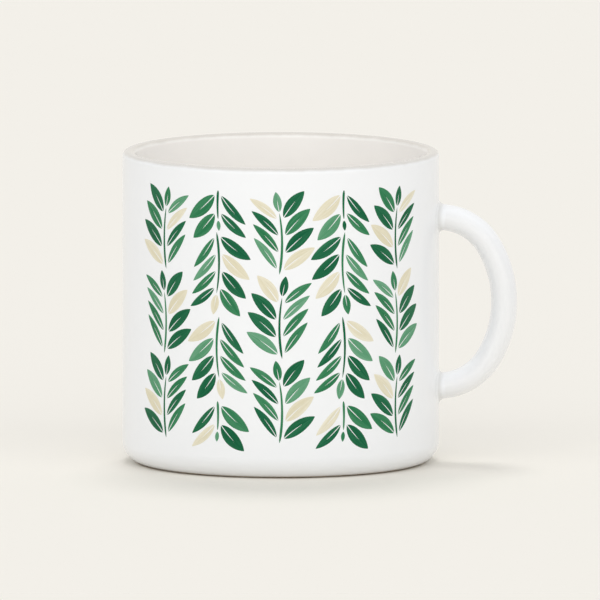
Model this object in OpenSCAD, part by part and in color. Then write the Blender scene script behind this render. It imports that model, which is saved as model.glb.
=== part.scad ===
// Coffee mug: a straight-sided glazed cup, a handle luted to it with slip, and a leaf-sprig
// transfer print fired onto the wall, one ink layer for each colour. Millimetres, +Z up.
// The origin is on the table, under the middle of the cup. The handle points along +X
// and the print faces -Y.

/* [Cup] */
// Outer diameter of the straight wall
cup_d = 88; // [70:1:110]
// Height from the table to the lip
cup_h = 87; // [72:1:120]
// Thickness of the wall
wall_t = 3.4; // [2.4:0.1:5]
// Radius of the lip's two rounded edges
lip_edge_r = 1.4; // [0.8:0.1:2]
// Height of the inside floor above the table
floor_t = 6; // [4:0.5:9]
// Outer radius where the wall turns under
base_r = 6.1; // [3:0.1:9]
// Inner radius where the wall meets the floor
well_r = 9; // [4:0.5:14]

/* [Foot] */
// Width of the bare ring that the mug stands on
foot_w = 4; // [2.5:0.5:7]
// Depth of the hollow inside the foot ring
foot_hollow = 1.6; // [0.8:0.1:2.6]

/* [Handle] */
// How far the handle stands off the wall
handle_reach = 21.7; // [18:0.1:32]
// Overall height of the handle
handle_h = 54.4; // [44:0.2:64]
// How far the handle's middle lies above the middle of the cup's height
handle_lift = 1.3; // [-3:0.1:4]
// Thickness of the handle, seen from the side
handle_t = 7.2; // [5:0.1:9]
// Width of the handle, seen from its outer face
handle_w = 13; // [10:0.5:18]
// Centreline radius of the bends at the two roots
handle_bend_r = 16; // [9:0.5:20]
// Radius of the handle's rounded edges
handle_edge_r = 2.6; // [1.5:0.1:3]

/* [Slip joints] */
// Thickness of the slip between the handle's roots and the wall
slip_t = 0.6; // [0.3:0.1:1]
// How far the squeezed-out slip stands proud of the handle's roots
slip_proud = 1; // [0.4:0.1:2]

/* [Print] */
// Width of the print, measured round the wall
print_w = 90; // [70:1:110]
// Depth of the print's first row below the lip
print_below_lip = 6; // [4:0.5:14]
// Height of the print's last row above the turn of the base
print_above_base = 4; // [4:0.5:12]
// Thickness of the fired ink
ink_t = 0.15; // [0.1:0.05:0.3]
// Columns of sprigs across the print
print_columns = 5; // [5:2:9]
// Rows of sprigs in the first column
print_rows = 3; // [2:1:4]
// Width of a leaf, before the leaves of a sprig are spread evenly along its stem
leaf_w = 2.9; // [2:0.1:4]
// Angle between a leaf and its stem
leaf_angle = 46; // [40:1:55]
// Clear wall between neighbouring leaves
leaf_gap = 0.4; // [0.3:0.05:0.8]
// How much shorter the last leaves on a stem are than its first, as a share
leaf_taper = 0.15; // [0:0.05:0.4]
// Width of the open midrib in a leaf
midrib_w = 0.3; // [0.2:0.05:0.4]
// Length of the open midrib, as a share of its leaf
midrib_share = 0.6; // [0.4:0.05:0.8]
// Length of the leaf at a sprig's tip, as a share of the sprig's height
tip_share = 0.24; // [0.2:0.01:0.32]
// Width of the leaf at a sprig's tip, as a share of its length
tip_slim_share = 0.42; // [0.3:0.01:0.5]
// Width of a stem
stem_w = 0.8; // [0.5:0.1:1.2]
// Radius that a stem bows to
stem_bow_r = 48; // [40:1:90]
// Bare foot of a stem, as a share of the step between its leaves
stem_foot_share = 0.2; // [0.1:0.05:0.4]
// Bare neck of a stem, as a share of the step between its leaves
stem_neck_share = 0.4; // [0.3:0.05:0.6]

/* [Hidden] */
$fn = 200;

cup_r = cup_d / 2;
lip_share = 0.45; // the lip keeps a narrow flat between its rounded edges
lip_r = min(lip_edge_r, lip_share * wall_t);
well_radius = cup_r - wall_t;
foot_outer = cup_r - base_r;
foot_inner = foot_outer - foot_w;
over = 1; // how far a cutting shape runs past the face that it opens
radian = 180 / PI; // in degrees

// Handle centreline: a bend at each root, tangent to one long outer sweep
reach_mid = handle_reach - handle_t / 2;
half_mid = handle_h / 2 - handle_t / 2;
bend_share = 0.93; // a bend stays inside the reach and the half height of its arch
bend_r = min(handle_bend_r, bend_share * reach_mid, bend_share * half_mid);
bend_z = half_mid - bend_r;
sweep_r = (reach_mid^2 + bend_z^2 - bend_r^2) / (2 * (reach_mid - bend_r));
sweep_half = atan2(bend_z, sweep_r - reach_mid);
handle_z = cup_h / 2 + handle_lift;
root_depth = cup_r - sqrt(cup_r^2 - (handle_w / 2 + slip_proud)^2) + over;

// Print: a half-drop lattice of leaf sprigs between two heights of the straight wall
print_z0 = base_r + print_above_base;
print_z1 = cup_h - print_below_lip;
column_w = print_w / print_columns;
row_h = (print_z1 - print_z0) / print_rows;
leaf_start = (stem_w / 2 + leaf_gap) / sin(leaf_angle);
leaf_l = (column_w / 2 - leaf_gap / 2 - bow_shift(row_h)) / sin(leaf_angle) - leaf_start;
// Order in which the colours follow each other from leaf to leaf, and how many leaves it moves on
// from sprig to sprig
TONE_ORDER = [0, 1, 3, 0, 2, 1, 0, 1, 0, 2, 3, 1, 0];
tone_shift_count = 5;

// A sprig holds its place round the wall, the height of its middle, the height of its cell,
// 1 for upright or -1 for hanging, and 1 for bowed to the right or -1 for bowed to the left
PLACE = 0;
MIDDLE = 1;
CELL = 2;
WAY = 3;
BOW = 4;
function bow_at(row, column) = (floor(column / 2) + row) % 2 == 0 ? 1 : -1;
function full_sprigs(column, drop) = let (s = (column - (print_columns - 1) / 2) * column_w) [
    for (row = [0 : print_rows - 1 - drop])
        [s, print_z0 + row_h * (row + (1 + drop) / 2), row_h, 1 - 2 * drop, bow_at(row, column)]
];
function end_sprigs(column) = let (s = (column - (print_columns - 1) / 2) * column_w) [
    for (end = [-1, 1])
        [s, (print_z0 + print_z1) / 2 + end * row_h * (print_rows / 2 - 1 / 4), row_h / 2, -1, end]
];
SPRIGS = [
    for (column = [0 : print_columns - 1]) each full_sprigs(column, column % 2),
    for (column = [1 : 2 : print_columns - 1]) each end_sprigs(column)
];

// Lengths in a cell of the lattice, and the shift that centres a bowed stem in it
function tip_l(cell) = tip_share * cell;
function stem_l(cell) = cell - 2 * leaf_gap - tip_l(cell);
function bow_shift(cell) = stem_bow_r * (1 - cos(stem_l(cell) / 2 / stem_bow_r * radian)) / 2;
function steps_of(cell) =
    round(stem_l(cell) * sin(leaf_angle) / (leaf_w + leaf_gap) - stem_foot_share - stem_neck_share);
function step_l(cell) = stem_l(cell) / (steps_of(cell) + stem_foot_share + stem_neck_share);

// Point on a bowed stem, at a length measured from its foot, and the stem's lean there
function stem_turn(cell, l) = (l - stem_l(cell) / 2) / stem_bow_r * radian;
function stem_lean(sprig, l) = sprig[BOW] * stem_turn(sprig[CELL], l);
function stem_point(sprig, l) = let (cell = sprig[CELL], turn = stem_turn(cell, l)) [
    sprig[BOW] * (stem_bow_r * (1 - cos(turn)) - bow_shift(cell)),
    stem_bow_r * sin(turn) - (tip_l(cell) + leaf_gap) / 2
];

// Leaves on the hollow side of a bow lie closer together than those on the other side
function spread_w(sprig, side) = let (fan = (leaf_start + leaf_l / 2) / stem_bow_r)
    step_l(sprig[CELL]) * (sin(leaf_angle) - side * sprig[BOW] * fan) - leaf_gap;

// A leaf holds its middle, its angle from upright, its length and its width
function leaf_from(point, turn, start, length, width) =
    [point + (start + length / 2) * [sin(turn), cos(turn)], turn, length, width];
function side_leaf(sprig, l, side) = leaf_from(
    stem_point(sprig, l), stem_lean(sprig, l) + side * leaf_angle, leaf_start,
    leaf_l * (1 - leaf_taper * (l / stem_l(sprig[CELL]))^2), spread_w(sprig, side)
);
function tip_leaf(sprig) = let (l = stem_l(sprig[CELL]), length = tip_l(sprig[CELL]))
    leaf_from(stem_point(sprig, l), stem_lean(sprig, l), leaf_gap, length, tip_slim_share * length);
function leaves_of(sprig) = let (step = step_l(sprig[CELL])) [
    for (k = [0 : steps_of(sprig[CELL])], side = [-1, 1])
        side_leaf(sprig, (stem_foot_share + k) * step, side),
    tip_leaf(sprig)
];
function tone_of(sprig_no, leaf_no) =
    TONE_ORDER[(tone_shift_count * sprig_no + leaf_no) % len(TONE_ORDER)];

// Half section of a round tub, from its axis out to its wall, with a rounded lower edge
module tub_section(r, bottom, top, edge_r) {
    translate([0, bottom]) square([r - edge_r, edge_r]);
    translate([0, bottom + edge_r]) square([r, top - bottom - edge_r]);
    translate([r - edge_r, bottom + edge_r]) circle(edge_r);
}

module cup_body() {
    color("white") rotate_extrude() {
        difference() {
            tub_section(cup_r, 0, cup_h - lip_r, base_r);
            tub_section(well_radius, floor_t, cup_h + over, well_r);
            mirror([0, 1]) tub_section(foot_inner, -foot_hollow, over, foot_hollow);
        }
        translate([well_radius + lip_r, cup_h - lip_r]) square([wall_t - 2 * lip_r, lip_r]);
        for (x = [well_radius + lip_r, cup_r - lip_r]) translate([x, cup_h - lip_r]) circle(lip_r);
    }
}

// Oval of four tangent arcs: two crowned faces and two rounded edges
module oval(thick, wide, edge_r) {
    edge_y = wide / 2 - edge_r;
    face_r = (edge_y^2 + thick^2 / 4 - edge_r^2) / (thick - 2 * edge_r);
    face_x = face_r - thick / 2;
    meet_y = edge_y * face_r / (face_r - edge_r);
    intersection() {
        translate([-face_x, 0]) circle(face_r);
        translate([face_x, 0]) circle(face_r);
        square([2 * thick, 2 * meet_y], center = true);
    }
    for (end = [-1, 1]) translate([0, end * edge_y]) circle(edge_r);
}

// Length of the handle that starts at the origin and turns about a point r to the left
module handle_arc(r, turn) {
    translate([-r, 0, 0]) rotate_extrude(angle = turn)
        translate([r, 0]) oval(handle_t, handle_w, handle_edge_r);
}

// Upper half of the handle in its own plane, x out from the wall and y up from its middle.
// The bend runs on into the wall, and the sweep runs on past the middle, where it is cut square.
module half_handle() {
    root_turn = root_depth / bend_r * radian;
    spare_turn = over / sweep_r * radian;
    meet = [reach_mid - sweep_r, 0, 0] + sweep_r * [cos(sweep_half), sin(sweep_half), 0];
    intersection() {
        translate(meet) rotate([0, 0, sweep_half]) {
            handle_arc(bend_r, 90 - sweep_half + root_turn);
            handle_arc(sweep_r, -sweep_half - spare_turn);
        }
        translate([-handle_h, 0, -handle_h]) cube(2 * handle_h);
    }
}

module handle() {
    color("white") difference() {
        translate([cup_r, 0, handle_z]) rotate([90, 0, 0]) {
            half_handle();
            mirror([0, 1, 0]) half_handle();
        }
        cylinder(r = cup_r + slip_t, h = cup_h);
    }
}

// A cylindrical skin on the straight wall, which cuts what is wrapped on it to its thickness
module wall_skin(thick) {
    difference() {
        cylinder(r = cup_r + thick, h = cup_h);
        translate([0, 0, -over]) cylinder(r = cup_r, h = cup_h + 2 * over);
    }
}

module slip_joint(end) {
    grown_t = handle_t + 2 * slip_proud;
    grown_w = handle_w + 2 * slip_proud;
    color("white") intersection() {
        translate([cup_r - root_depth, 0, handle_z + end * half_mid]) rotate([0, 90, 0])
            linear_extrude(root_depth + slip_t + over) oval(grown_t, grown_w, handle_edge_r + slip_proud);
        wall_skin(slip_t);
    }
}

// Places a flat shape on the wall: s along the wall from the print's middle, z up the wall
module on_wall(s, z) {
    rotate([0, 0, s / cup_r * radian]) translate([0, over - cup_r, z])
        rotate([90, 0, 0]) linear_extrude(ink_t + 2 * over) children();
}

// Leaf between two arcs, upright and centred, with its midrib open from the base
module leaf(length, width) {
    arc_r = (length^2 + width^2) / (4 * width);
    difference() {
        intersection_for (side = [-1, 1]) translate([side * (arc_r - width / 2), 0]) circle(arc_r);
        translate([-midrib_w / 2, -length / 2 - over]) square([midrib_w, length * midrib_share + over]);
    }
}

// Stem in the frame of its sprig: a slice of a ring, with its foot below and its tip above
module stem(sprig) {
    cell = sprig[CELL];
    rise = stem_bow_r * sin(stem_turn(cell, stem_l(cell)));
    ring_x = sprig[BOW] * stem_bow_r;
    translate([ring_x - sprig[BOW] * bow_shift(cell), -(tip_l(cell) + leaf_gap) / 2]) intersection() {
        difference() {
            circle(stem_bow_r + stem_w / 2);
            circle(stem_bow_r - stem_w / 2);
        }
        translate([-ring_x, 0]) square([stem_bow_r, 2 * rise], center = true);
    }
}

// A hanging sprig is its upright one turned over
module sprig_leaf(sprig, middle, turn, length, width) {
    on_wall(sprig[PLACE] + middle.x, sprig[MIDDLE] + sprig[WAY] * middle.y)
        rotate(sprig[WAY] == 1 ? -turn : turn - 180) leaf(length, width);
}

module sprig_stem(sprig) {
    on_wall(sprig[PLACE], sprig[MIDDLE]) mirror([0, sprig[WAY] == 1 ? 0 : 1]) stem(sprig);
}

module print_layer(tone) {
    intersection() {
        union() {
            for (n = [0 : len(SPRIGS) - 1]) let (sprig = SPRIGS[n], leaves = leaves_of(sprig)) {
                if (n % 2 == tone) sprig_stem(sprig);
                for (k = [0 : len(leaves) - 1]) if (tone_of(n, k) == tone)
                    sprig_leaf(sprig, leaves[k][0], leaves[k][1], leaves[k][2], leaves[k][3]);
            }
        }
        wall_skin(ink_t);
    }
}

module upper_slip_joint() {
    slip_joint(1);
}

module lower_slip_joint() {
    slip_joint(-1);
}

module print_dark_green() {
    color("#1a6443") print_layer(0);
}

module print_mid_green() {
    color("#40805b") print_layer(1);
}

module print_light_green() {
    color("#77a388") print_layer(2);
}

module print_cream() {
    color("#e5dfc5") print_layer(3);
}

cup_body();
handle();
upper_slip_joint();
lower_slip_joint();
print_dark_green();
print_mid_green();
print_light_green();
print_cream();
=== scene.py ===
"""Dresses a coffee mug: glazed cup, strap handle, slip fillets and a fired leaf-sprig print."""

import math

import bmesh
import bpy
from bpy.props import FloatProperty, FloatVectorProperty, IntProperty, PointerProperty
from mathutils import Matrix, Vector


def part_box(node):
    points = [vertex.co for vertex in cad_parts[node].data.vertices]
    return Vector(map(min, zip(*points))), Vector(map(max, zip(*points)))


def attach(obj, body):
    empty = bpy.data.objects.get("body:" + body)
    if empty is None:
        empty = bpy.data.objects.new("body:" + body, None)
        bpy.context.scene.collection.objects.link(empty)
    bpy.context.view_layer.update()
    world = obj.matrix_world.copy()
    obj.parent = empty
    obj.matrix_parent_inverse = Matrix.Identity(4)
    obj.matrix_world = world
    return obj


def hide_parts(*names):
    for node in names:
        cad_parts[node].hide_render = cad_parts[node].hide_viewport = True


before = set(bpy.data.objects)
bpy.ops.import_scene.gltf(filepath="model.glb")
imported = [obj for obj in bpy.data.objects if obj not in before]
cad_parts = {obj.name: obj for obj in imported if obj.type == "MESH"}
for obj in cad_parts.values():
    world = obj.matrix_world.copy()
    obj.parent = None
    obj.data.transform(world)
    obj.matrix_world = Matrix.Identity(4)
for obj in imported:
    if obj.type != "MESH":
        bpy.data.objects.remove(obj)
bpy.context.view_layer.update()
_, CUP_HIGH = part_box("cup_body")
HANDLE_LOW, HANDLE_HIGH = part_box("handle")

bl_info = {
    "name": "Glazed mug",
    "version": (1, 0, 0),
    "blender": (4, 5, 0),
    "location": "View3D > Sidebar > Mug",
    "description": "Builds a glazed coffee mug with a leaf-sprig print, in a plain studio",
    "category": "Add Mesh",
}

# Lengths are in metres. A gap of a hair stays open, and points within SEW are sewn together.
MM = 0.001
HAIR = 3e-6
SEW = HAIR / 3
BAKE_MAP = "OFBake"


# Settings


def length(name, description, default):
    return FloatProperty(
        name=name, description=description, default=default, min=0.0, precision=5,
        subtype="DISTANCE", unit="LENGTH",
    )


def share(name, description, default):
    return FloatProperty(
        name=name, description=description, default=default, min=0.0, max=1.0, subtype="FACTOR",
    )


def turn(name, description, degrees):
    return FloatProperty(
        name=name, description=description, default=math.radians(degrees), subtype="ANGLE",
        unit="ROTATION",
    )


def linear(*eight_bit):
    """Scene-linear colour of an 8-bit display colour."""
    parts = [c / 255 for c in eight_bit]
    return [c / 12.92 if c <= 0.04045 else ((c + 0.055) / 1.055) ** 2.4 for c in parts]


def paint(name, description, *eight_bit):
    return FloatVectorProperty(
        name=name, description=description, default=linear(*eight_bit), size=3, min=0.0, max=1.0,
        subtype="COLOR",
    )


class MugCup(bpy.types.PropertyGroup):
    """Sizes and glaze of the cup"""

    radius: length("Radius", "Outer radius of the straight wall", CUP_HIGH.x)
    height: length("Height", "Height from the table to the lip", CUP_HIGH.z)
    wall: length("Wall", "Thickness of the wall", 3.4 * MM)
    lip: length("Lip edge", "Radius of the lip's rounded edges", 1.4 * MM)
    floor: length("Floor", "Height of the inside floor above the table", 6 * MM)
    base_turn: length("Base turn", "Outer radius where the wall turns under", 6.1 * MM)
    well_turn: length("Well turn", "Inner radius where the wall meets the floor", 9 * MM)
    foot: length("Foot", "Width of the bare ring that the mug stands on", 4 * MM)
    hollow: length("Foot hollow", "Depth of the hollow inside the foot ring", 1.6 * MM)
    foot_edge: length("Foot edge", "Rounding of the foot ring's inner edge", 0.4 * MM)
    bare: length("Bare foot", "Height up to which the glaze is wiped off the foot", 0.45 * MM)
    outside: paint("Outside", "Colour of the glaze outside", 244, 245, 246)
    # Inside: cream glaze, set paler than the outside glaze as painted light that lifts the shade
    # inside the cup
    inside: paint("Inside", "Colour of the glaze inside", 253, 250, 245)
    thin: paint("Thin glaze", "Colour where the glaze runs thin over the lip", 196, 189, 178)
    # Grey of the fillet's hollow: glaze gathered there, and painted shade of the crease where the
    # handle meets the wall
    pooled_glaze_and_shade: paint("Pooled glaze", "Colour where the glaze gathers in a hollow", 216, 216, 213)
    biscuit: paint("Bare clay", "Colour of the bare clay of the foot", 226, 216, 198)
    toast: paint("Toasted clay", "Colour of the clay along the edge of the glaze", 190, 158, 122)


class MugHandle(bpy.types.PropertyGroup):
    """Sizes of the strap handle and of the slip at its roots"""

    reach: length("Reach", "How far the handle stands off the wall", HANDLE_HIGH.x - CUP_HIGH.x)
    height: length("Height", "Overall height of the handle", HANDLE_HIGH.z - HANDLE_LOW.z)
    middle: length("Middle", "Height of the handle's middle", (HANDLE_HIGH.z + HANDLE_LOW.z) / 2)
    thick: length("Thickness", "Thickness, seen from the side", 7.2 * MM)
    wide: length("Width", "Width, seen from its outer face", HANDLE_HIGH.y - HANDLE_LOW.y)
    bend: length("Bend", "Centreline radius of the bends at the roots", 16 * MM)
    edge: length("Edge", "Radius of the rounded edges", 2.6 * MM)
    fillet: length("Slip fillet", "Size of the slip fillet round each root", 1.7 * MM)


class MugPrint(bpy.types.PropertyGroup):
    """Sizes and inks of the leaf-sprig print"""

    width: length("Width", "Width of the print, measured round the wall", 90 * MM)
    low: length("Low edge", "Height of the print's lower edge", 10.1 * MM)
    high: length("High edge", "Height of the print's upper edge", 81 * MM)
    ink: length("Ink", "Thickness of the fired ink", 0.06 * MM)
    columns: IntProperty(name="Columns", description="Columns of sprigs", default=5, min=3)
    rows: IntProperty(name="Rows", description="Rows of sprigs", default=3, min=2)
    leaf_wide: length("Leaf", "Width of a leaf, before its sprig spreads it", 2.9 * MM)
    leaf_turn: turn("Leaf angle", "Angle between a leaf and its stem", 46)
    gap: length("Gap", "Clear wall between neighbouring leaves", 0.4 * MM)
    taper: share("Taper", "How much shorter a stem's last leaves are than its first", 0.15)
    curl: length("Curl", "Radius that a leaf curls to", 42 * MM)
    midrib: length("Midrib", "Width of the open midrib in a leaf", 0.22 * MM)
    midrib_share: share("Midrib length", "Length of the open midrib, as a share of its leaf", 0.62)
    tip_share: share("Tip leaf", "Length of a tip leaf, as a share of its sprig", 0.24)
    tip_slim: share("Tip slimness", "Width of a tip leaf, as a share of its length", 0.42)
    stem_wide: length("Stem", "Width of a stem", 0.8 * MM)
    stem_bow: length("Stem bow", "Radius that a stem bows to", 48 * MM)
    stem_foot: share("Stem foot", "Bare foot of a stem, as a share of its leaf step", 0.2)
    stem_neck: share("Stem neck", "Bare neck of a stem, as a share of its leaf step", 0.4)
    seed: IntProperty(name="Seed", description="Seed of the leaves' shades", default=4)
    dark: paint("Dark green", "Darkest leaf ink", 4, 92, 57)
    dark_thin: paint("Thin dark green", "Darkest leaf ink where it is brushed thin", 44, 118, 80)
    mid: paint("Mid green", "Middle leaf ink", 36, 116, 73)
    mid_thin: paint("Thin mid green", "Middle leaf ink where it is brushed thin", 76, 144, 103)
    light: paint("Light green", "Palest leaf ink", 80, 145, 105)
    light_thin: paint("Thin light green", "Palest leaf ink where it is brushed thin", 124, 174, 143)
    cream: paint("Cream", "Cream leaf ink", 221, 213, 184)
    cream_thin: paint("Thin cream", "Cream leaf ink where it is brushed thin", 240, 235, 217)


class MugStage(bpy.types.PropertyGroup):
    """Floor, light and camera"""

    floor: paint("Floor", "Colour of the floor", 239, 235, 226)
    backdrop: paint("Backdrop", "Colour seen behind the floor's edge", 243, 240, 233)
    opening: length("Opening", "Radius of the opening in the floor under the foot", 38.2 * MM)
    view_wide: length("View", "Width that the camera sees", 166.82 * MM)
    view_rise: turn("Camera rise", "How far the camera looks down", 6.88)
    view_x: length("View centre X", "Point that the camera looks at", 5.352 * MM)
    view_z: length("View centre Z", "Point that the camera looks at", 45.13 * MM)
    sky: FloatProperty(name="Sky", description="Strength of the even light", default=0.67)
    back: FloatProperty(name="Back lamp", description="Strength of the lamp behind", default=0.7)
    front: FloatProperty(name="Front lamps", description="Strength of each front lamp", default=0.6)


# Node helpers


def plug(tree, slot, term):
    """Links or sets an input socket. A plain colour is given without its alpha."""
    if isinstance(term, Value):
        tree.links.new(term.socket, slot)
    elif isinstance(term, bpy.types.NodeSocket):
        tree.links.new(term, slot)
    elif slot.type == "RGBA":
        slot.default_value = (*term, 1.0)
    else:
        slot.default_value = term


def add(tree, kind, settings=None, **inputs):
    """Adds a node with these settings, and fills its inputs. An underscore stands for a space."""
    node = tree.nodes.new(kind)
    for name, value in (settings or {}).items():
        setattr(node, name, value)
    for label, term in inputs.items():
        plug(tree, node.inputs[label.replace("_", " ")], term)
    return node


class Value:
    """A socket in a node tree. Arithmetic on it adds Math nodes."""

    def __init__(self, tree, socket):
        self.tree, self.socket = tree, socket

    def math(self, operation, *others, flip=False):
        node = add(self.tree, "ShaderNodeMath", {"operation": operation})
        terms = (*others, self) if flip else (self, *others)
        for slot, term in zip(node.inputs, terms):
            plug(self.tree, slot, term)
        return Value(self.tree, node.outputs[0])

    def __add__(self, other):
        return self.math("ADD", other)

    def __radd__(self, other):
        return self.math("ADD", other)

    def __sub__(self, other):
        return self.math("SUBTRACT", other)

    def __rsub__(self, other):
        return self.math("SUBTRACT", other, flip=True)

    def __mul__(self, other):
        return self.math("MULTIPLY", other)

    def __truediv__(self, other):
        return self.math("DIVIDE", other)

    def __pow__(self, other):
        return self.math("POWER", other)

    def __abs__(self):
        return self.math("ABSOLUTE")

    def step(self, low, high):
        """0 at low, 1 at high, smooth between them and level beyond. Either may be the greater."""
        node = add(
            self.tree, "ShaderNodeMapRange", {"interpolation_type": "SMOOTHSTEP"}, Value=self,
            From_Min=min(low, high), From_Max=max(low, high),
            To_Min=float(low > high), To_Max=float(low < high),
        )
        return Value(self.tree, node.outputs["Result"])


def vector(tree, x, y, z):
    return add(tree, "ShaderNodeCombineXYZ", X=x, Y=y, Z=z).outputs[0]


def split(tree, term):
    node = add(tree, "ShaderNodeSeparateXYZ", Vector=term)
    return [Value(tree, out) for out in node.outputs]


def noise(tree, where, scale, detail=2.0, rough=0.5):
    node = add(tree, "ShaderNodeTexNoise", Vector=where, Scale=scale, Detail=detail,
               Roughness=rough)
    return Value(tree, node.outputs["Fac"])


def mix(tree, share_of_b, a, b):
    """A colour between two colours."""
    node = add(tree, "ShaderNodeMix", {"data_type": "RGBA"})
    sockets = {slot.identifier: slot for slot in node.inputs}
    for name, term in (("Factor_Float", share_of_b), ("A_Color", a), ("B_Color", b)):
        plug(tree, sockets[name], term)
    return next(out for out in node.outputs if out.type == "RGBA")


def group_tree(name, kind, inputs, outputs):
    """A node group with named sockets, its inputs as values, and the sockets of its result."""
    tree = bpy.data.node_groups.new(name, kind)
    for label, holds, default in inputs:
        socket = tree.interface.new_socket(label, in_out="INPUT", socket_type="NodeSocket" + holds)
        if default is not None:
            socket.default_value = default
    for label, holds in outputs:
        tree.interface.new_socket(label, in_out="OUTPUT", socket_type="NodeSocket" + holds)
    start, end = tree.nodes.new("NodeGroupInput"), tree.nodes.new("NodeGroupOutput")
    given = {label: Value(tree, start.outputs[label]) for label, _, _ in inputs}
    return tree, given, end.inputs


def numbers(**defaults):
    """Plain number inputs of a node group. An underscore stands for a space."""
    return [(label.replace("_", " "), "Float", value) for label, value in defaults.items()]


def store(tree, geometry, name, term, data_type="FLOAT", domain="POINT"):
    """Keeps a value on the geometry, under a name."""
    return add(tree, "GeometryNodeStoreNamedAttribute", {"data_type": data_type, "domain": domain},
               Geometry=geometry, Name=name, Value=term).outputs[0]


def read(tree, name):
    """Reads a value that the geometry keeps under a name."""
    return Value(tree, add(tree, "GeometryNodeInputNamedAttribute", Name=name).outputs[0])


def pick(tree, data_type, number, choices):
    """The choice that stands at this number."""
    node = add(tree, "GeometryNodeIndexSwitch", {"data_type": data_type})
    while len(node.index_switch_items) < len(choices):
        node.index_switch_items.new()
    for slot, term in zip(node.inputs, (number, *choices)):
        plug(tree, slot, term)
    return node.outputs[0]


def move(tree, geometry, spot):
    return add(tree, "GeometryNodeSetPosition", Geometry=geometry, Position=spot).outputs[0]


def sew_up(tree, geometry, material, result):
    """Ends a tree of Geometry Nodes: sews points together and gives the geometry a material."""
    sewn = add(tree, "GeometryNodeMergeByDistance", Geometry=geometry, Distance=SEW).outputs[0]
    done = add(tree, "GeometryNodeSetMaterial", Geometry=sewn, Material=material).outputs[0]
    plug(tree, result["Geometry"], done)


# Finishes


# Noise scales, in cycles to the metre
TOOTH_SCALE = 25.0
RIPPLE_SCALE = 70.0
PATCH_SCALE = 160.0
WANDER_SCALE = 240.0
PEEL_SCALE = 900.0
GRAIN_SCALE = 1800.0
GRIT_SCALE = 2600.0

# Brush strokes: how many across a leaf and along it, and how unlike the next leaf's they are
STROKES_ACROSS = 4.5
STROKES_ALONG = 1.1
LEAVES_APART = 37.0

# Reliefs of glaze and ink, the bare clay's relief in units of the glaze's, and the clay's roughness
GLAZE_RELIEF = 0.05 * MM
INK_RELIEF = 0.02 * MM
CLAY_RELIEF = 1.5
CLAY_ROUGHNESS = 0.85

# How far the edges of the glaze wander
LIP_WANDER = 0.5 * MM
FOOT_WANDER = 0.3 * MM

# The inside's colour begins at this share of the wall's thickness, measured from outside, and
# blends in over this much to either side
INSIDE_FROM = 0.62
INSIDE_BLEND = 0.5 * MM

# Depths below the lip between which the glaze runs thin
LIP_LOW = 1.1 * MM
LIP_HIGH = 0.1 * MM

# Blur of the glaze's end at the foot, and the band of toasted clay below it
WIPED_BLUR = 0.06 * MM
TOAST_BAND = 0.34 * MM

# How far off the wall the grey of a fillet's hollow, gathered glaze and painted shade, is deepest,
# and how far it reaches
POOL_SHADE_DEEPEST = 0.4 * MM
POOL_SHADE_END = 1.7 * MM

# How strongly the thin glaze of the lip and of the handle's edges shows, and the grey of the
# fillet's hollow, gathered glaze and painted shade
LIP_SHOWS = 0.7
EDGE_SHOWS = 0.1
POOL_SHADE_SHOWS = 0.6

# Specular level of the ink, lower than the glaze's, and the slight change of the floor's colour
INK_SPECULAR = 0.15
FLOOR_TOOTH = 0.002


def place_on(tree):
    """The place on the piece, in the piece's own coordinates."""
    return tree.nodes.new("ShaderNodeTexCoord").outputs["Object"]


def dimmed(colour, by):
    return [c * by for c in colour]


def glaze_skin():
    """Group: the soft ripple, fine orange-peel and gloss changes of a fired glaze."""
    name = "Glaze Skin"
    if name in bpy.data.node_groups:
        return bpy.data.node_groups[name]
    tree, given, result = group_tree(
        name, "ShaderNodeTree",
        numbers(Ripple=1.0, Peel=0.06, Gloss=0.16, Gloss_Change=0.10),
        [("Height", "Float"), ("Roughness", "Float"), ("Depth", "Float")],
    )
    where = place_on(tree)
    ripple = noise(tree, where, RIPPLE_SCALE, detail=1.0)
    peel = noise(tree, where, PEEL_SCALE)
    patch = noise(tree, where, PATCH_SCALE, detail=3.0, rough=0.6)
    plug(tree, result["Height"], ripple * given["Ripple"] + peel * given["Peel"])
    plug(tree, result["Roughness"], given["Gloss"] + (patch - 0.5) * given["Gloss Change"])
    plug(tree, result["Depth"], ripple * 0.6 + patch * 0.4)
    return tree


def ink_film():
    """Group: brushed leaf ink, paler at its rim and on one half, streaked along the leaf."""
    name = "Ink Film"
    if name in bpy.data.node_groups:
        return bpy.data.node_groups[name]
    tree, given, result = group_tree(
        name, "ShaderNodeTree",
        [("Leaf", "Vector", None), ("Deep", "Color", None), ("Pale", "Color", None)]
        + numbers(Thinness=0.16, Streaks=1.8, Rim=0.14, Lit_Half=0.16, Tip=0.10,
                  Leaf_Change=0.34, Grain=0.22, Gloss=0.24),
        [("Color", "Color"), ("Height", "Float"), ("Roughness", "Float")],
    )
    across, along, shade = split(tree, given["Leaf"])
    brush = vector(tree, across * STROKES_ACROSS, along * STROKES_ALONG, shade * LEAVES_APART)
    strokes = noise(tree, brush, 1.0, detail=3.0, rough=0.6) - 0.5
    grain = noise(tree, place_on(tree), GRAIN_SCALE) - 0.5
    rim = abs(across).step(0.35, 1.0)
    lit_half = across.step(-0.05, 0.05)
    tip = along.step(0.55, 1.0)
    pale = (
        given["Thinness"] + strokes * given["Streaks"] + rim * given["Rim"]
        + lit_half * given["Lit Half"] + tip * given["Tip"]
        + (shade - 0.5) * given["Leaf Change"] + grain * given["Grain"]
    )
    pale = pale.math("MAXIMUM", 0.0).math("MINIMUM", 1.0)
    plug(tree, result["Color"], mix(tree, pale, given["Deep"], given["Pale"]))
    plug(tree, result["Height"], strokes * 0.6 + grain * 0.4)
    plug(tree, result["Roughness"], given["Gloss"] + strokes * 0.16 + grain * 0.10)
    return tree


def new_finish(name):
    """A material with its tree and its Principled shader."""
    material = bpy.data.materials.new(name)
    material.use_nodes = True
    tree = material.node_tree
    shader = next(node for node in tree.nodes if node.type == "BSDF_PRINCIPLED")
    return material, tree, shader


def place_group(tree, group, **values):
    return add(tree, "ShaderNodeGroup", {"node_tree": group}, **values).outputs


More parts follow.
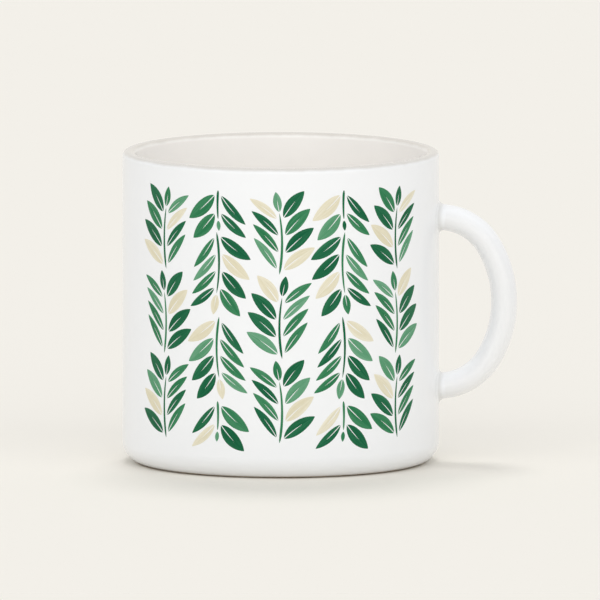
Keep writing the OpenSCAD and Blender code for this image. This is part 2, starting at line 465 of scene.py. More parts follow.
def finish_shader(tree, shader, colour, rough, height, relief):
    """Gives a shader its colour, its roughness and its relief."""
    bump = add(tree, "ShaderNodeBump", Strength=1.0, Distance=relief, Height=height)
    plug(tree, shader.inputs["Base Color"], colour)
    plug(tree, shader.inputs["Roughness"], rough)
    plug(tree, shader.inputs["Normal"], bump.outputs["Normal"])


def clouded(tree, glaze, colour, dullness, cloud=1.0):
    """Colour of a glaze that is a little duller where it lies thick."""
    thick = Value(tree, glaze["Depth"]).step(0.3, 0.7)
    return mix(tree, thick * cloud, colour, dimmed(colour, 1 - dullness))


def white_glaze(tree, cup, glaze):
    return clouded(tree, glaze, cup.outside, dullness=0.015, cloud=0.6)


def cup_finish(cup):
    """White glaze outside, cream glaze inside made paler as painted light against its shade,
    thinner over the lip, wiped off the foot.
    """
    material, tree, shader = new_finish("cup_glaze")
    glaze = place_group(tree, glaze_skin())
    where = place_on(tree)
    x, y, z = split(tree, where)
    radius = (x * x + y * y).math("SQRT")
    wander = noise(tree, where, WANDER_SCALE, detail=3.0) - 0.5
    grit = noise(tree, where, GRIT_SCALE, detail=3.0, rough=0.7)

    # The inside's colour begins on the lip, and the glaze runs thin over the lip's last millimetre.
    crest = cup.radius - cup.wall * INSIDE_FROM
    above_foot = z.step(2.0 * MM, 4.0 * MM)
    inside = radius.step(crest + INSIDE_BLEND, crest - INSIDE_BLEND) * above_foot
    # Painted light: the inside's cream glaze is paler than the outside's, lifting the shade inside
    # the cup
    inner = clouded(tree, glaze, cup.inside, dullness=0.02)
    colour = mix(tree, inside, white_glaze(tree, cup, glaze), inner)
    lip = (z + wander * LIP_WANDER).step(cup.height - LIP_LOW, cup.height - LIP_HIGH)
    colour = mix(tree, lip * LIP_SHOWS, colour, cup.thin)

    # The glaze is wiped off the foot, and the bare clay is toasted along the edge that it leaves.
    wiped = z + wander * FOOT_WANDER
    bare = wiped.step(cup.bare + WIPED_BLUR, cup.bare - WIPED_BLUR)
    toast = wiped.step(cup.bare - TOAST_BAND, cup.bare)
    clay = mix(tree, grit.step(0.3, 0.75), dimmed(cup.biscuit, 0.86), cup.biscuit)
    clay = mix(tree, toast * (0.3 + grit * 0.8), clay, cup.toast)
    rough, height = Value(tree, glaze["Roughness"]), Value(tree, glaze["Height"])
    rough = rough + bare * (CLAY_ROUGHNESS - rough)
    height = height + bare * grit * CLAY_RELIEF
    finish_shader(tree, shader, mix(tree, bare, colour, clay), rough, height, GLAZE_RELIEF)
    return material


def handle_finish(cup, handle):
    """White glaze that thins along the strap's rounded edges."""
    material, tree, shader = new_finish("handle_glaze")
    glaze = place_group(tree, glaze_skin(), Ripple=1.2)
    _, y, _ = split(tree, place_on(tree))
    thin = abs(y).step(handle.wide / 2 - handle.edge * 0.9, handle.wide / 2)
    colour = mix(tree, thin * EDGE_SHOWS, white_glaze(tree, cup, glaze), cup.thin)
    finish_shader(tree, shader, colour, glaze["Roughness"], glaze["Height"], GLAZE_RELIEF)
    return material


def slip_finish(cup):
    """White glaze, greyed in the hollow of the fillet: glaze gathered there, and painted shade of
    the crease.
    """
    material, tree, shader = new_finish("slip_glaze")
    glaze = place_group(tree, glaze_skin(), Ripple=1.5, Peel=0.048, Gloss=0.14)
    x, y, _ = split(tree, place_on(tree))
    stand = (x * x + y * y).math("SQRT") - cup.radius
    # Painted shade, with gathered glaze: the fillet's hollow is greyed between wall and handle
    pooled_glaze_and_shade = stand.step(0.0, POOL_SHADE_DEEPEST) * stand.step(POOL_SHADE_END, POOL_SHADE_DEEPEST)
    colour = mix(tree, pooled_glaze_and_shade * POOL_SHADE_SHOWS, white_glaze(tree, cup, glaze), cup.pooled_glaze_and_shade)
    finish_shader(tree, shader, colour, glaze["Roughness"], glaze["Height"], GLAZE_RELIEF)
    return material


def ink_finish(name, deep, pale, streaks):
    """Fired ink: brushed colour, less glossy than the glaze."""
    material, tree, shader = new_finish(name)
    leaf = add(tree, "ShaderNodeAttribute", {"attribute_name": "leaf"}).outputs["Vector"]
    film = place_group(tree, ink_film(), Leaf=leaf, Deep=deep, Pale=pale, Streaks=streaks)
    finish_shader(tree, shader, film["Color"], film["Roughness"], film["Height"], INK_RELIEF)
    shader.inputs["Specular IOR Level"].default_value = INK_SPECULAR
    return material


def floor_finish(stage):
    """Matt pale sheet, seen from above only."""
    material, tree, shader = new_finish("floor_sheet")
    tooth = noise(tree, place_on(tree), TOOTH_SCALE)
    low, high = [dimmed(stage.floor, 1 + by) for by in (-FLOOR_TOOTH, FLOOR_TOOTH)]
    plug(tree, shader.inputs["Base Color"], mix(tree, tooth, low, high))
    shader.inputs["Roughness"].default_value = 1.0
    shader.inputs["Specular IOR Level"].default_value = 0.0
    clear = tree.nodes.new("ShaderNodeBsdfTransparent")
    side = tree.nodes.new("ShaderNodeNewGeometry").outputs["Backfacing"]
    choice = tree.nodes.new("ShaderNodeMixShader")
    for slot, term in zip(choice.inputs, (side, shader.outputs[0], clear.outputs[0])):
        plug(tree, slot, term)
    end = next(node for node in tree.nodes if node.type == "OUTPUT_MATERIAL")
    plug(tree, end.inputs["Surface"], choice.outputs[0])
    return material


# Shapes


# Angles in degrees from which an edge is hard
GLAZE_HARD = 40
INK_HARD = 12

# Inputs of the cup's tree, and the settings that fill them
CUP_SIZES = {
    "Radius": "radius", "Height": "height", "Wall": "wall", "Lip Edge": "lip", "Floor": "floor",
    "Base Turn": "base_turn", "Well Turn": "well_turn", "Foot": "foot", "Foot Hollow": "hollow",
    "Foot Edge": "foot_edge",
}
CUP_STEPS = {"Steps Around": 192, "Steps in a Turn": 12}

# Steps of the handle's section, of a bend and of half the sweep. The last ring of a bend slopes by
# ROOT_SLOPE degrees, and the ends stand a little off the wall.
FACE_STEPS = 14
EDGE_STEPS = 12
BEND_STEPS = 22
SWEEP_STEPS = 18
ROOT_SLOPE = 87
ROOT_LIFT = 0.01 * MM

# The slip's edge stands a little off the wall. Its back is sunk in the wall and reaches in under
# the root, and its top is tucked into the handle by a share of the handle's half section.
SLIP_STEPS = 8
SLIP_LIFT = 0.006 * MM
SLIP_SINK = 0.15 * MM
SLIP_UNDER = 0.4 * MM
SLIP_TUCK = 0.12


def finish_mesh(mesh, shape, hard):
    """Writes a closed shape to a mesh, smooth, with its faces outwards and its hard edges kept."""
    bmesh.ops.recalc_face_normals(shape, faces=shape.faces)
    open_edges = sum(1 for edge in shape.edges if len(edge.link_faces) != 2)
    shape.to_mesh(mesh)
    shape.free()
    if open_edges or not mesh.polygons:
        raise RuntimeError(f"{mesh.name}: {open_edges} open edges, {len(mesh.polygons)} faces")
    mesh.polygons.foreach_set("use_smooth", [True] * len(mesh.polygons))
    mesh.set_sharp_from_angle(angle=math.radians(hard))


def mesh_object(name, mesh):
    made = bpy.data.objects.new(name, mesh)
    bpy.context.scene.collection.objects.link(made)
    return made


def skin(name, rings, closed=False):
    """A piece skinned over rings of points. A ring of one point closes an end.

    Its bake map runs round the rings and along them, so it has a single seam.
    """
    count = max(len(ring) for ring in rings)
    shape = bmesh.new()
    bake_map = shape.loops.layers.uv.new(BAKE_MAP)
    made = [[shape.verts.new(point) for point in ring] for ring in rings]
    pairs = list(zip(made, made[1:] + made[:1] if closed else made[1:]))
    run = [0.0]
    for below, above in pairs:
        gaps = [(below[i % len(below)].co - above[i % len(above)].co).length for i in range(count)]
        run.append(run[-1] + sum(gaps))
    for k, (below, above) in enumerate(pairs):
        low, high = run[k] / run[-1], run[k + 1] / run[-1]
        for i in range(count):
            corners = {}
            for ring, along, ends in ((below, low, (0, 1)), (above, high, (1, 0))):
                for end in ends:
                    around = (i + (end if len(ring) > 1 else 0.5)) / count
                    corners[ring[(i + end) % len(ring)]] = (around, along)
            face = shape.faces.new(list(corners))
            for corner in face.loops:
                corner[bake_map].uv = corners[corner.vert]
    mesh = bpy.data.meshes.new(name)
    finish_mesh(mesh, shape, GLAZE_HARD)
    return mesh_object(name, mesh)


def grow(name, seedling, tree, values, hard):
    """Runs a tree of Geometry Nodes on a mesh, and keeps what it makes as a plain mesh object."""
    piece = mesh_object(name, seedling)
    nodes = piece.modifiers.new(tree.name, "NODES")
    nodes.node_group = tree
    for socket in tree.interface.items_tree:
        if socket.in_out == "INPUT" and socket.name in values:
            nodes[socket.identifier] = values[socket.name]
    graph = bpy.context.evaluated_depsgraph_get()
    made = bpy.data.meshes.new_from_object(
        piece.evaluated_get(graph), preserve_all_data_layers=True, depsgraph=graph
    )
    piece.modifiers.clear()
    piece.data = made
    made.name = name
    bpy.data.meshes.remove(seedling)
    shape = bmesh.new()
    shape.from_mesh(made)
    finish_mesh(made, shape, hard)
    return piece


def dress(piece, node, material):
    """Gives a piece its finish, and lets it stand for its CAD node."""
    piece.data.materials.clear()
    piece.data.materials.append(material)
    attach(piece, "root")
    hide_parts(node)


def cup_tree():
    """Geometry nodes: rounds the corners of the cup's half section, and turns it about Z."""
    tree, size, result = group_tree(
        "Turned Cup", "GeometryNodeTree",
        [(name, "Float", 0.0) for name in CUP_SIZES]
        + [(name, "Int", count) for name, count in CUP_STEPS.items()]
        + [("Material", "Material", None)],
        [("Geometry", "Geometry")],
    )
    bore = size["Radius"] - size["Wall"]
    foot_in = size["Radius"] - size["Base Turn"] - size["Foot"]
    corners = (
        (0.0, size["Foot Hollow"], 0.0),
        (foot_in, size["Foot Hollow"], size["Foot Hollow"] - size["Foot Edge"]),
        (foot_in, 0.0, size["Foot Edge"]),
        (size["Radius"], 0.0, size["Base Turn"]),
        (size["Radius"], size["Height"], size["Lip Edge"]),
        (bore, size["Height"], size["Lip Edge"]),
        (bore, size["Floor"], size["Well Turn"]),
        (0.0, size["Floor"], 0.0),
    )
    line = add(tree, "GeometryNodeMeshLine", Count=len(corners)).outputs[0]
    number = add(tree, "GeometryNodeInputIndex").outputs[0]
    places = [vector(tree, radius, 0.0, height) for radius, height, _ in corners]
    line = move(tree, line, pick(tree, "VECTOR", number, places))
    line = store(tree, line, "turn", pick(tree, "FLOAT", number, [c[2] for c in corners]))
    section = add(tree, "GeometryNodeMeshToCurve", Mesh=line).outputs[0]
    section = add(tree, "GeometryNodeFilletCurve", {"mode": "POLY"}, Curve=section,
                  Count=size["Steps in a Turn"], Radius=read(tree, "turn")).outputs[0]

    count = Value(tree, add(tree, "GeometryNodeAttributeDomainSize", {"component": "CURVE"},
                            Geometry=section).outputs["Point Count"])
    grid = add(tree, "GeometryNodeMeshGrid", Size_X=1.0, Size_Y=1.0, Vertices_Y=count,
               Vertices_X=size["Steps Around"] + 1.0).outputs["Mesh"]
    place = add(tree, "GeometryNodeInputPosition").outputs[0]
    x, y, _ = split(tree, place)
    around, row = x + 0.5, ((y + 0.5) * (count - 1.0)).math("ROUND")

    def on_section(data_type, term):
        return add(tree, "GeometryNodeSampleIndex", {"data_type": data_type}, Geometry=section,
                   Value=term, Index=row).outputs[0]

    radius, _, height = split(tree, on_section("FLOAT_VECTOR", place))
    run = on_section("FLOAT", add(tree, "GeometryNodeSplineParameter").outputs["Factor"])
    middle = add(tree, "GeometryNodeFieldOnDomain", {"data_type": "FLOAT", "domain": "FACE"},
                 Value=around).outputs[0]
    at_pole = radius.math("LESS_THAN", HAIR)
    mapped = around + at_pole * (Value(tree, middle) - around)
    grid = store(tree, grid, BAKE_MAP, vector(tree, mapped, run, 0.0), "FLOAT2", "CORNER")
    angle = around * (2 * math.pi)
    spot = vector(tree, radius * angle.math("COSINE"), radius * angle.math("SINE"), height)
    sew_up(tree, move(tree, grid, spot), size["Material"], result)
    return tree


def turned_cup(cup, material):
    values = {label: getattr(cup, name) for label, name in CUP_SIZES.items()}
    values.update(CUP_STEPS, Material=material)
    return grow("glazed_cup", bpy.data.meshes.new("section"), cup_tree(), values, GLAZE_HARD)


def oval(handle):
    """Points of the strap's section with their outward directions: across it and along Y."""
    edge_y = handle.wide / 2 - handle.edge
    face = (edge_y**2 + handle.thick**2 / 4 - handle.edge**2) / (handle.thick - 2 * handle.edge)
    face_x = face - handle.thick / 2
    meet = math.degrees(math.atan2(edge_y, face_x))
    section = []
    for centre, radius, start, stop, steps in (
        ((-face_x, 0.0), face, -meet, meet, FACE_STEPS),
        ((0.0, edge_y), handle.edge, meet, 180 - meet, EDGE_STEPS),
        ((face_x, 0.0), face, 180 - meet, 180 + meet, FACE_STEPS),
        ((0.0, -edge_y), handle.edge, 180 + meet, 360 - meet, EDGE_STEPS),
    ):
        for i in range(steps):
            t = math.radians(start + (stop - start) * i / steps)
            out = (math.cos(t), math.sin(t))
            section.append(((centre[0] + radius * out[0], centre[1] + radius * out[1]), out))
    return section


class Strap:
    """Places sections of the handle along its centreline: a bend at each root and one sweep."""

    def __init__(self, cup, handle):
        self.cup, self.handle, self.section = cup, handle, oval(handle)
        self.reach = handle.reach - handle.thick / 2
        self.half = handle.height / 2 - handle.thick / 2
        self.bend_z = self.half - handle.bend
        self.sweep = (self.reach**2 + self.bend_z**2 - handle.bend**2) / (
            2 * (self.reach - handle.bend)
        )
        self.sweep_half = math.degrees(math.atan2(self.bend_z, self.sweep - self.reach))

    def ring(self, degrees):
        """Ring of points where the centreline's outward direction has this slope."""
        if abs(degrees) <= self.sweep_half:
            centre, radius = (self.reach - self.sweep, 0.0), self.sweep
        else:
            centre = (0.0, math.copysign(self.bend_z, degrees))
            radius = self.handle.bend
        t = math.radians(degrees)
        return [
            Vector((
                self.cup.radius + centre[0] + (radius + across) * math.cos(t),
                wide,
                self.handle.middle + centre[1] + (radius + across) * math.sin(t),
            ))
            for (across, wide), _ in self.section
        ]

    def on_wall(self, y, z, stand):
        """Point at a distance off the wall, straight out from it along X."""
        return Vector((math.sqrt((self.cup.radius + stand) ** 2 - y * y), y, z))

    def root_ring(self, end, spread, stand):
        """Ring on the wall round the upper (1) or lower (-1) root, spread outwards."""
        ring = []
        for (across, wide), (out, side) in self.section:
            z = self.handle.middle + end * (self.half + across + spread * out)
            ring.append(self.on_wall(wide + spread * side, z, stand))
        return ring


def middle_of(ring):
    return sum(ring, Vector()) / len(ring)


def strap_handle(cup, handle):
    """The handle, skinned from the middle of its lower root to the middle of its upper one."""
    strap = Strap(cup, handle)
    turn_by = (ROOT_SLOPE - strap.sweep_half) / BEND_STEPS
    bend = [strap.sweep_half + turn_by * i for i in range(1, BEND_STEPS + 1)]
    sweep = [strap.sweep_half * i / SWEEP_STEPS for i in range(-SWEEP_STEPS, SWEEP_STEPS + 1)]
    slopes = [-slope for slope in reversed(bend)] + sweep + bend
    lower, upper = [strap.root_ring(end, 0.0, ROOT_LIFT) for end in (-1, 1)]
    rings = [[middle_of(lower)], lower]
    rings += [strap.ring(slope) for slope in slopes]
    rings += [upper, [middle_of(upper)]]
    return skin("strap_handle", rings)


def slip_fillet(name, cup, handle, end):
    """Soft fillet of slip round a root, tangent to the wall and to the handle."""
    strap = Strap(cup, handle)
    size = handle.fillet
    foot = strap.root_ring(end, size, SLIP_LIFT)
    corner = strap.root_ring(end, 0.0, SLIP_LIFT)
    top = strap.ring(end * (90 - math.degrees(size / handle.bend)))
    rings = [strap.root_ring(end, size, -SLIP_SINK)]
    for i in range(SLIP_STEPS + 1):
        t = i / SLIP_STEPS
        rings.append([
            (1 - t) ** 2 * a + 2 * t * (1 - t) * b + t * t * c
            for a, b, c in zip(foot, corner, top)
        ])
    middle = middle_of(top)
    rings.append([point + (middle - point) * SLIP_TUCK for point in top])
    rings.append(strap.root_ring(end, -SLIP_UNDER, -SLIP_SINK))
    return skin(name, rings[::-end], closed=True)


# Print


DARK, MID, LIGHT, CREAM = range(4)
TONE_ORDER = (DARK, MID, CREAM, DARK, LIGHT, MID, DARK, MID, DARK, LIGHT, CREAM, MID, DARK)
TONE_SHIFT = 5
MARK_VALUES = ("place", "rise", "lean", "long", "wide", "curl", "slit", "stem", "number")

# A leaf wider than SLIT_FROM has an open midrib, which widens with the leaf up to its full width.
# It narrows towards its end by this power, and takes at most this share of the leaf.
SLIT_FROM = 1.2 * MM
SLIT_GAIN = 0.08
SLIT_TAPER = 3.0
SLIT_MOST = 0.6

# A tip leaf's curl, as a share of the other leaves'
TIP_CURL = 0.5

# Steps along a leaf, and how close to the midrib's end a row of points counts as on it
LEAF_STEPS = 14
ROW_TOLERANCE = 0.004

# Outlines: where a leaf's belly lies and how full it is, how a stem tapers and how blunt it ends
LEAF_BELLY = 0.9
LEAF_FULLNESS = 0.85
STEM_TAPER = 0.45
STEM_BLUNT = 8.0

# How steeply the ink falls off at its sides and at its ends
SIDE_FALL = 8.0
END_FALL = 10.0


def sprigs(plan):
    """Half-drop lattice: place round the wall, height, cell height, way up and way of bow."""
    column_wide, row_high = plan.width / plan.columns, (plan.high - plan.low) / plan.rows
    placed = []
    for column in range(plan.columns):
        drop, place = column % 2, (column - (plan.columns - 1) / 2) * column_wide
        for row in range(plan.rows - drop):
            bow = 1 if (column // 2 + row) % 2 == 0 else -1
            rise = plan.low + row_high * (row + (1 + drop) / 2)
            placed.append((place, rise, row_high, 1 - 2 * drop, bow))
    for column in range(1, plan.columns, 2):
        place = (column - (plan.columns - 1) / 2) * column_wide
        for end in (-1, 1):
            rise = (plan.low + plan.high) / 2 + end * row_high * (plan.rows / 2 - 0.25)
            placed.append((place, rise, row_high / 2, -1, end))
    return placed


def print_marks(plan):
    """Leaves and stems of each ink, as rows of MARK_VALUES."""
    sine = math.sin(plan.leaf_turn)

    def stem_long(cell):
        return cell * (1 - plan.tip_share) - 2 * plan.gap

    def bow_shift(cell):
        return plan.stem_bow * (1 - math.cos(stem_long(cell) / 2 / plan.stem_bow)) / 2

    start = (plan.stem_wide / 2 + plan.gap) / sine
    half_column, row_high = plan.width / plan.columns / 2, (plan.high - plan.low) / plan.rows
    leaf_long = (half_column - plan.gap / 2 - bow_shift(row_high)) / sine - start
    marks = {tone: [] for tone in (DARK, MID, LIGHT, CREAM)}
    number = 0
    for n, (place, rise, cell, way, bow) in enumerate(sprigs(plan)):
        tip_long, stem = plan.tip_share * cell, stem_long(cell)
        bare = plan.stem_foot + plan.stem_neck
        steps = round(stem * sine / (plan.leaf_wide + plan.gap) - bare)
        step = stem / (steps + bare)
        leaves = []
        for k in range(steps + 1):
            along = (plan.stem_foot + k) * step
            for side in (-1, 1):
                spread = side * bow * (start + leaf_long / 2) / plan.stem_bow
                wide = step * (sine - spread) - plan.gap
                long = leaf_long * (1 - plan.taper * (along / stem) ** 2)
                leaves.append((along, side * plan.leaf_turn, start, long, wide, side))
        tip_wide = plan.tip_slim * tip_long
        leaves.append((stem, 0.0, plan.gap, tip_long, tip_wide, -bow * TIP_CURL))
        for k, (along, angle, begin, long, wide, curl) in enumerate(leaves):
            sway = (along - stem / 2) / plan.stem_bow
            lean = bow * sway + angle
            x = bow * (plan.stem_bow * (1 - math.cos(sway)) - bow_shift(cell))
            z = plan.stem_bow * math.sin(sway) - (tip_long + plan.gap) / 2
            x += (begin + long / 2) * math.sin(lean)
            z += (begin + long / 2) * math.cos(lean)
            slit = min(plan.midrib / 2, max(0.0, SLIT_GAIN * (wide - SLIT_FROM)))
            number += 1
            marks[TONE_ORDER[(TONE_SHIFT * n + k) % len(TONE_ORDER)]].append((
                place + x, rise + way * z, lean if way == 1 else math.pi - lean, long, wide,
                way * curl / plan.curl, slit, 0.0, number,
            ))
        number += 1
        marks[n % 2].append((
            place - bow * bow_shift(cell), rise - way * (tip_long + plan.gap) / 2,
            0.0 if way == 1 else math.pi, stem, plan.stem_wide, way * bow / plan.stem_bow,
            0.0, 1.0, number,
        ))
    return marks


def print_tree():
    """Geometry nodes: lays each half of each mark as thin ink round the wall, and sews them up."""
    tree, given, result = group_tree(
        "Leaf Print", "GeometryNodeTree",
        [("Geometry", "Geometry", None)]
        + numbers(Wall_Radius=0.0, Ink_Thickness=0.0, Midrib_End=0.0)
        + [("Steps Along", "Int", LEAF_STEPS), ("Seed", "Int", 0),
           ("Material", "Material", None)],
        [("Geometry", "Geometry")],
    )

    # The face has two columns of points for its crown, and the back has only its edges.
    film = add(tree, "GeometryNodeJoinGeometry")
    for columns, lift in ((4, 1.0), (2, 0.0)):
        sheet = add(tree, "GeometryNodeMeshGrid", Size_X=1.0, Size_Y=1.0, Vertices_X=columns,
                    Vertices_Y=given["Steps Along"] + 1.0)
        raised = store(tree, sheet.outputs["Mesh"], "raised", lift)
        tree.links.new(raised, film.inputs[0])
    x, y, _ = split(tree, add(tree, "GeometryNodeInputPosition").outputs[0])
    outwards = ((x * math.pi).math("SINE") * (math.pi / 2)).math("SINE")
    sheet = store(tree, film.outputs[0], "across", outwards * 0.5 + 0.5)
    sheet = store(tree, sheet, "along", (y * math.pi).math("SINE") * 0.5 + 0.5)

    chance = add(tree, "FunctionNodeRandomValue", {"data_type": "FLOAT"},
                 ID=read(tree, "number"), Seed=given["Seed"])
    drawn = next(out for out in chance.outputs if out.type == "VALUE")
    points = store(tree, given["Geometry"], "shade", drawn)
    placed = add(tree, "GeometryNodeInstanceOnPoints", Points=points, Instance=sheet)
    laid = add(tree, "GeometryNodeRealizeInstances", Geometry=placed.outputs[0]).outputs[0]

    across, along, half = read(tree, "across"), read(tree, "along"), read(tree, "half")
    from_middle = abs(along * 2.0 - 1.0)
    fat = along**LEAF_BELLY
    leaf_form = (fat * (1.0 - fat) * 4.0) ** LEAF_FULLNESS
    stem_form = (1.0 - along * STEM_TAPER) * (1.0 - from_middle**STEM_BLUNT)
    form = leaf_form + read(tree, "stem") * (stem_form - leaf_form)
    half_wide = read(tree, "wide") * 0.5 * form
    slit, slit_end = read(tree, "slit"), given["Midrib End"]
    slitted = slit.math("GREATER_THAN", HAIR)
    parted = slitted * along.math("LESS_THAN", slit_end - ROW_TOLERANCE)
    edged = slitted * along.math("LESS_THAN", slit_end + ROW_TOLERANCE)
    slit = slit * (1.0 - (along / slit_end).math("MINIMUM", 1.0) ** SLIT_TAPER)
    slit = slit.math("MINIMUM", half_wide * SLIT_MOST).math("MAXIMUM", parted * HAIR)

    run = (along - 0.5) * read(tree, "long")
    side = half * (slit + across * (half_wide - slit).math("MAXIMUM", 0.0))
    side = side + read(tree, "curl") * run * run * 0.5
    lean, wall = read(tree, "lean"), given["Wall Radius"]
    sine, cosine = lean.math("SINE"), lean.math("COSINE")
    turned = (read(tree, "place") + side * cosine + run * sine) / wall
    rise = read(tree, "rise") - side * sine + run * cosine
    outer = (across * 2.0 - 1.0).math("MAXIMUM", 0.0) ** SIDE_FALL
    inner = (1.0 - across * 2.0).math("MAXIMUM", 0.0) ** SIDE_FALL
    crown = (1.0 - outer - inner * edged) * (1.0 - from_middle**END_FALL)
    stand = wall + given["Ink Thickness"] * (crown * read(tree, "raised"))
    spot = vector(tree, stand * turned.math("SINE"), stand * turned.math("COSINE") * -1.0, rise)
    leaf = vector(tree, across * half, along, read(tree, "shade"))
    wrapped = store(tree, move(tree, laid, spot), "leaf", leaf, "FLOAT_VECTOR")
    sew_up(tree, wrapped, given["Material"], result)
    return tree


def ink_layer(name, marks, plan, radius, tree, material):
    """One ink of the print, as one plain mesh."""
    mesh = bpy.data.meshes.new(name)
    mesh.from_pydata([(0.0, 0.0, 0.0)] * (2 * len(marks)), [], [])
    rows = [(*mark, half) for mark in marks for half in (-1.0, 1.0)]
    for label, column in zip((*MARK_VALUES, "half"), zip(*rows)):
        mesh.attributes.new(label, "FLOAT", "POINT").data.foreach_set("value", column)
    slit_row = round(LEAF_STEPS * math.acos(1 - 2 * plan.midrib_share) / math.pi)
    slit_end = (1 - math.cos(math.pi * slit_row / LEAF_STEPS)) / 2
    values = {"Wall Radius": radius, "Ink Thickness": plan.ink, "Midrib End": slit_end,
              "Steps Along": LEAF_STEPS, "Seed": plan.seed, "Material": material}
    piece = grow(name, mesh, tree, values, INK_HARD)
    for label in (*MARK_VALUES, "half", "raised", "across", "along", "shade"):
        piece.data.attributes.remove(piece.data.attributes[label])
    return piece


# Stage


FLOOR_RADIUS = 6.0
FLOOR_STEPS = 96
SKY_TINT = (0.985, 1.0, 1.035)
CAMERA_AWAY = 0.4


def lay_floor(stage):
    """Flat sheet with an opening under the foot."""
    turns = [2 * math.pi * i / FLOOR_STEPS for i in range(FLOOR_STEPS)]
    points = []
    for radius in (stage.opening, FLOOR_RADIUS):
        points += [(radius * math.cos(t), radius * math.sin(t), 0.0) for t in turns]
    faces = []
    for i in range(FLOOR_STEPS):
        after = (i + 1) % FLOOR_STEPS
        faces.append((i, i + FLOOR_STEPS, after + FLOOR_STEPS, after))
    mesh = bpy.data.meshes.new("floor")
    mesh.from_pydata(points, [], faces)
    mesh.materials.append(floor_finish(stage))
    mesh_object("floor", mesh)


def set_facing(thing, azimuth, rise, away=1.0, target=(0.0, 0.0, 0.0)):
    """Puts a lamp or a camera at an azimuth and a rise, and turns it to its target."""
    level = math.cos(rise)
    back = Vector((math.sin(azimuth) * level, -math.cos(azimuth) * level, math.sin(rise)))
    thing.location = Vector(target) + back * away
    thing.rotation_euler = back.to_track_quat("Z", "Y").to_euler()
    bpy.context.scene.collection.objects.link(thing)


def light_room(stage):
    """Even light all round, with the backdrop's colour where it is seen, and three soft lamps."""
    world = bpy.data.worlds.new("soft_room")
    bpy.context.scene.world = world
    world.use_nodes = True
    tree = world.node_tree
    tree.nodes.clear()
    path = tree.nodes.new("ShaderNodeLightPath").outputs
    seen = Value(tree, path["Is Camera Ray"]).math("MAXIMUM", path["Is Glossy Ray"])
    seen = seen.math("MAXIMUM", path["Is Transmission Ray"])
    even = dimmed(SKY_TINT, stage.sky)
    sky = add(tree, "ShaderNodeBackground", Color=mix(tree, seen, even, stage.backdrop))
    add(tree, "ShaderNodeOutputWorld", Surface=sky.outputs[0])

    for name, strength, azimuth, rise, spread, mirrored in (
        ("back_lamp", stage.back, 180, 66, 22, False),
        ("left_lamp", stage.front, -30, 27, 70, True),
        ("right_lamp", stage.front, 30, 27, 70, True),
    ):
        lamp = bpy.data.lights.new(name, "SUN")
        lamp.energy = strength
        lamp.angle = math.radians(spread)
        light = bpy.data.objects.new(name, lamp)
        light.visible_glossy = mirrored
        set_facing(light, math.radians(azimuth), math.radians(rise))


def set_camera(stage):
    """Camera without perspective, at the photograph's angle."""
    camera = bpy.data.objects.new("camera", bpy.data.cameras.new("camera"))
    camera.data.type = "ORTHO"
    camera.data.ortho_scale = stage.view_wide
    set_facing(camera, 0.0, stage.view_rise, CAMERA_AWAY, (stage.view_x, 0.0, stage.view_z))
    bpy.context.scene.camera = camera


# Operators


class MUG_OT_stage(bpy.types.Operator):
    """Set the floor, the soft light and the camera"""

    bl_idname = "mug.stage"
    bl_label = "Stage"

    def execute(self, context):
        stage = context.scene.mug_stage
        lay_floor(stage)
        light_room(stage)
        set_camera(stage)
        context.scene.view_settings.view_transform = "Standard"
        return {"FINISHED"}


class MUG_OT_cup(bpy.types.Operator):
    """Turn the cup with its lip, well and foot, and glaze it"""

    bl_idname = "mug.cup"
    bl_label = "Cup"

    def execute(self, context):
        cup = context.scene.mug_cup
        finish = cup_finish(cup)
        dress(turned_cup(cup, finish), "cup_body", finish)
        return {"FINISHED"}


class MUG_OT_handle(bpy.types.Operator):
    """Pull the strap handle along its centreline, and glaze it"""

    bl_idname = "mug.handle"
    bl_label = "Handle"

    def execute(self, context):
        cup, handle = context.scene.mug_cup, context.scene.mug_handle
        dress(strap_handle(cup, handle), "handle", handle_finish(cup, handle))
        return {"FINISHED"}


class MUG_OT_slip(bpy.types.Operator):
    """Smooth a fillet of slip round each root of the handle"""

    bl_idname = "mug.slip"
    bl_label = "Slip fillets"

    def execute(self, context):
        cup, handle = context.scene.mug_cup, context.scene.mug_handle
        finish = slip_finish(cup)
        for name, end in (("upper_slip", 1), ("lower_slip", -1)):
            fillet = slip_fillet(name + "_fillet", cup, handle, end)
            dress(fillet, name + "_joint", finish)
        return {"FINISHED"}


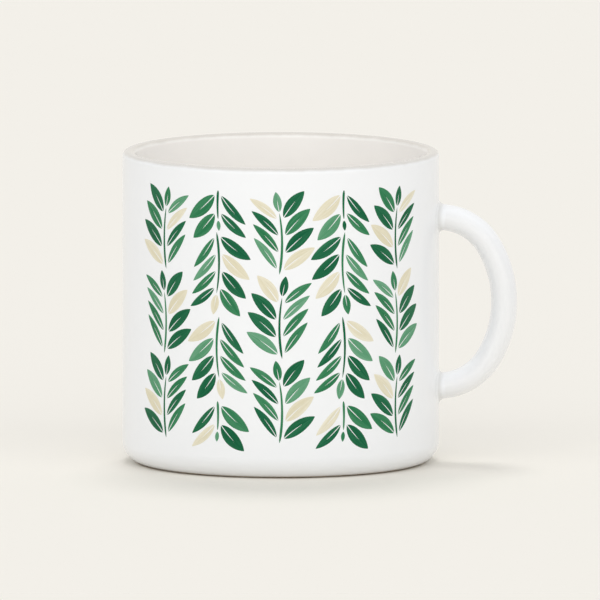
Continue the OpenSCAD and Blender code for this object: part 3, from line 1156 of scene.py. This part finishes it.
class MUG_OT_print(bpy.types.Operator):
    """Lay the leaf-sprig print on the wall, one mesh for each ink"""

    bl_idname = "mug.print"
    bl_label = "Leaf-sprig print"

    def execute(self, context):
        plan, radius = context.scene.mug_print, context.scene.mug_cup.radius
        marks, tree = print_marks(plan), print_tree()
        for tone, name, deep, pale, streaks in (
            (DARK, "dark_green", plan.dark, plan.dark_thin, 1.87),
            (MID, "mid_green", plan.mid, plan.mid_thin, 1.76),
            (LIGHT, "light_green", plan.light, plan.light_thin, 1.54),
            (CREAM, "cream", plan.cream, plan.cream_thin, 1.54),
        ):
            finish = ink_finish("ink_" + name, deep, pale, streaks)
            layer = ink_layer("leaves_" + name, marks[tone], plan, radius, tree, finish)
            dress(layer, "print_" + name, finish)
        return {"FINISHED"}


OPERATORS = (MUG_OT_stage, MUG_OT_cup, MUG_OT_handle, MUG_OT_slip, MUG_OT_print)
SETTINGS = {
    "mug_cup": MugCup, "mug_handle": MugHandle, "mug_print": MugPrint, "mug_stage": MugStage,
}


class MUG_PT_panel(bpy.types.Panel):
    """Steps and settings of the mug"""

    bl_idname = "MUG_PT_panel"
    bl_label = "Glazed mug"
    bl_space_type = "VIEW_3D"
    bl_region_type = "UI"
    bl_category = "Mug"

    def draw(self, context):
        layout = self.layout
        for operator in OPERATORS:
            layout.operator(operator.bl_idname)
        for name in SETTINGS:
            settings = getattr(context.scene, name)
            box = layout.box()
            box.label(text=settings.__doc__)
            for prop in settings.bl_rna.properties:
                if prop.identifier not in {"rna_type", "name"}:
                    box.prop(settings, prop.identifier)


def register():
    for kind in (*SETTINGS.values(), *OPERATORS, MUG_PT_panel):
        bpy.utils.register_class(kind)
    for name, kind in SETTINGS.items():
        setattr(bpy.types.Scene, name, PointerProperty(type=kind))


def unregister():
    for name in SETTINGS:
        delattr(bpy.types.Scene, name)
    for kind in (MUG_PT_panel, *OPERATORS, *SETTINGS.values()):
        bpy.utils.unregister_class(kind)


def main():
    register()
    bpy.ops.mug.stage()
    bpy.ops.mug.cup()
    bpy.ops.mug.handle()
    bpy.ops.mug.slip()
    bpy.ops.mug.print()


if __name__ == "__main__":
    main()
